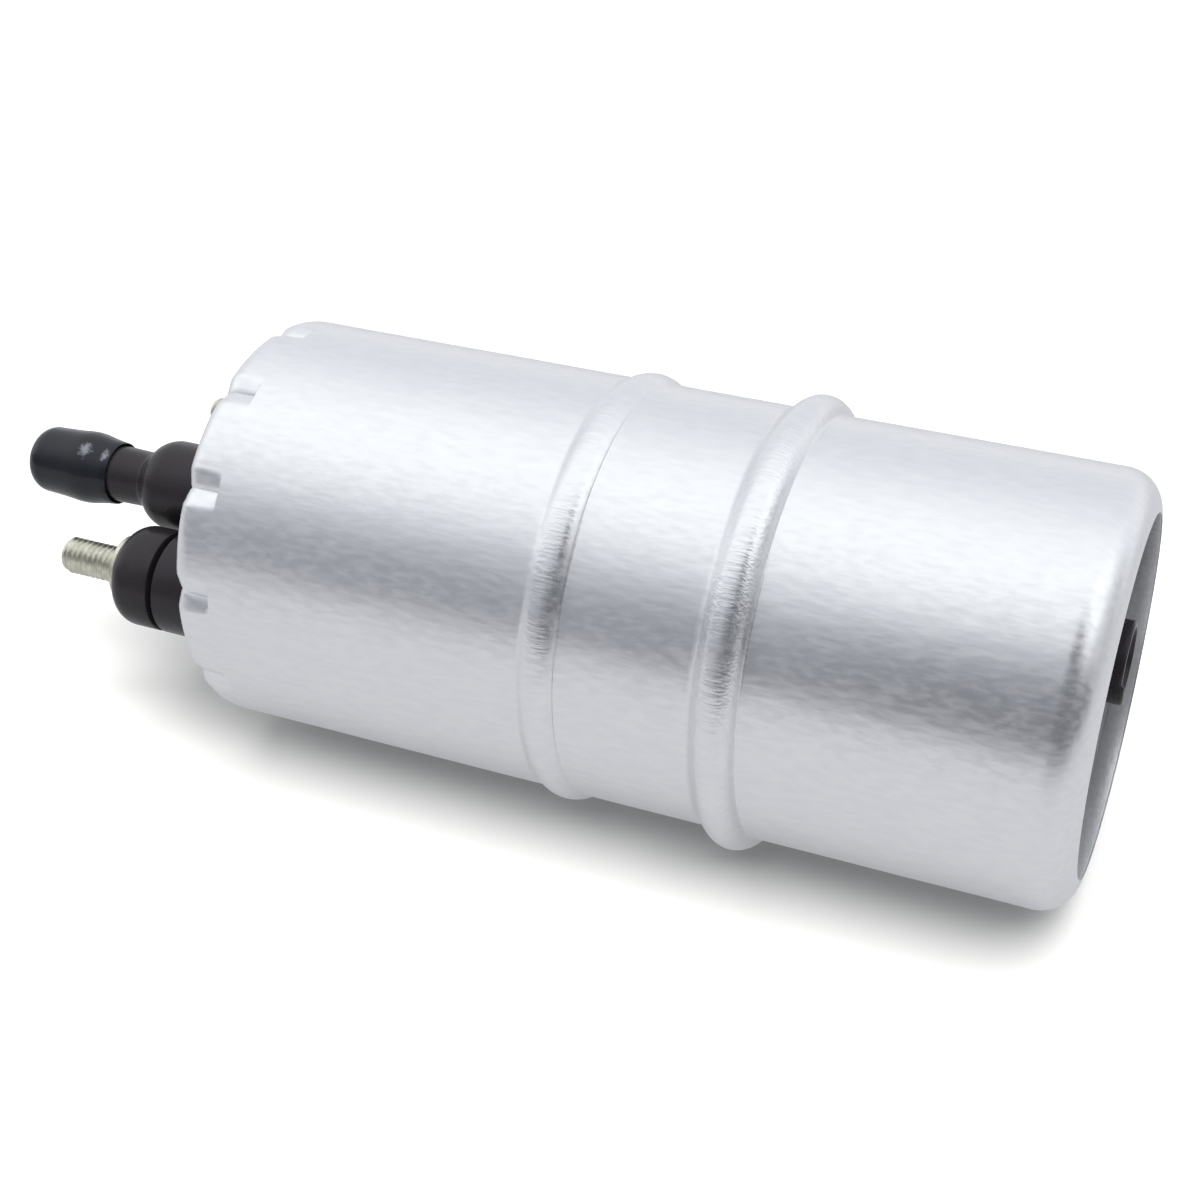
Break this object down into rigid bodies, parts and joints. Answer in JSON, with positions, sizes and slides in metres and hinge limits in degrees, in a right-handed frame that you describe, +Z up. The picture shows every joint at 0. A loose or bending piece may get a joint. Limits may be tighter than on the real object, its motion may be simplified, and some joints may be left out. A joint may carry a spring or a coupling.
{
  "type": "fuel pump",
  "caption": "In-line electric fuel pump: plated can with two rolled beads and a crimped end, insulated terminal studs, capped outlet nipple and recessed inlet post, on its side.",
  "frame": {"origin": "middle of the bounding box at its base, under the lying pump, with the pump axis 28.07 mm above it", "axes": "+X along the pump axis towards the inlet rim, -X the outlet and terminals, +Z up, -Y the side that the picture shows"},
  "size_m": [0.1478, 0.0562, 0.0561],
  "materials": {
    "plated_steel": "bright satin zinc-nickel plate on drawn sheet",
    "die_cast": "as cast, dull grey",
    "black_moulding": "moulded glass-filled plastic, satin",
    "cap_plastic": "soft moulded plastic, semi-gloss",
    "sintered_steel": "sintered and ground",
    "tool_steel": "ground",
    "bronze": "sintered bronze",
    "ferrite": "fired ferrite",
    "spring_steel": "drawn wire",
    "lamination": "stacked electrical sheet",
    "copper": "enamelled copper",
    "phenolic": "moulded phenolic",
    "carbon": "pressed copper-graphite",
    "terminal_nickel": "nickel plate, warm grey",
    "seal_rubber": "fuel-proof rubber"
  },
  "bodies": {
    "pump_body": {"can": "plated_steel", "inlet_housing": "die_cast", "inlet_nipple": "black_moulding", "inlet_strainer": "tool_steel", "pump_ring": "sintered_steel", "port_plate": "sintered_steel", "dowel_pins": "tool_steel", "relief_plug": "tool_steel", "relief_spring": "spring_steel", "front_bearing": "bronze", "rear_bearing": "bronze", "flux_tube": "tool_steel", "upper_magnet": "ferrite", "lower_magnet": "ferrite", "magnet_clips": "spring_steel", "end_cap": "black_moulding", "end_cap_seal": "seal_rubber", "outlet_fitting": "black_moulding", "valve_seat": "bronze", "check_spring": "spring_steel", "terminal_insulator": "black_moulding", "near_stud": "terminal_nickel", "near_washer": "terminal_nickel", "near_contact": "copper", "near_brush_guide": "bronze", "near_brush_spring": "spring_steel", "near_brush_lead": "copper", "far_stud": "terminal_nickel", "far_washer": "terminal_nickel", "far_contact": "copper", "far_brush_guide": "bronze", "far_brush_spring": "spring_steel", "far_brush_lead": "copper"},
    "armature": {"armature_shaft": "tool_steel", "armature_core": "lamination", "armature_windings": "copper", "commutator": "copper", "commutator_hub": "phenolic", "thrust_washers": "tool_steel", "inner_rotor": "sintered_steel"},
    "ring_rotor": {"outer_rotor": "sintered_steel"},
    "near_carbon": {"near_brush": "carbon"},
    "far_carbon": {"far_brush": "carbon"},
    "outlet_check": {"check_ball": "tool_steel"},
    "relief_check": {"relief_ball": "tool_steel"},
    "cap": {"dust_cap": "cap_plastic"}
  },
  "joints": [
    {"name": "armature_spin", "type": "hinge", "parent": "pump_body", "child": "armature", "pos_m": [0.05, 0, 0.02807], "axis": [1, 0, 0], "continuous": true},
    {"name": "ring_rotor_spin", "type": "hinge", "parent": "pump_body", "child": "ring_rotor", "pos_m": [0.05, -0.0012, 0.02807], "axis": [1, 0, 0], "continuous": true},
    {"name": "near_brush_slide", "type": "slide", "parent": "pump_body", "child": "near_carbon", "axis": [-1, 0, 0], "range_m": [0, 0.0025], "stiffness_N_per_m": 150, "springref_m": -0.004, "deforming": ["near_brush_spring", "near_brush_lead"]},
    {"name": "far_brush_slide", "type": "slide", "parent": "pump_body", "child": "far_carbon", "axis": [-1, 0, 0], "range_m": [0, 0.0025], "stiffness_N_per_m": 150, "springref_m": -0.004, "deforming": ["far_brush_spring", "far_brush_lead"]},
    {"name": "outlet_check_slide", "type": "slide", "parent": "pump_body", "child": "outlet_check", "axis": [-1, 0, 0], "range_m": [0, 0.0015], "stiffness_N_per_m": 60, "springref_m": -0.004, "deforming": ["check_spring"]},
    {"name": "relief_check_slide", "type": "slide", "parent": "pump_body", "child": "relief_check", "axis": [1, 0, 0], "range_m": [0, 0.0008], "stiffness_N_per_m": 400, "springref_m": -0.002, "deforming": ["relief_spring"]},
    {"name": "dust_cap_pull", "type": "slide", "parent": "pump_body", "child": "cap", "axis": [-1, 0, 0], "range_m": [0, 0.0135]}
  ],
  "couplings": [
    {"joint": "ring_rotor_spin", "follows": "armature_spin", "ratio": 0.85714}
  ]
}
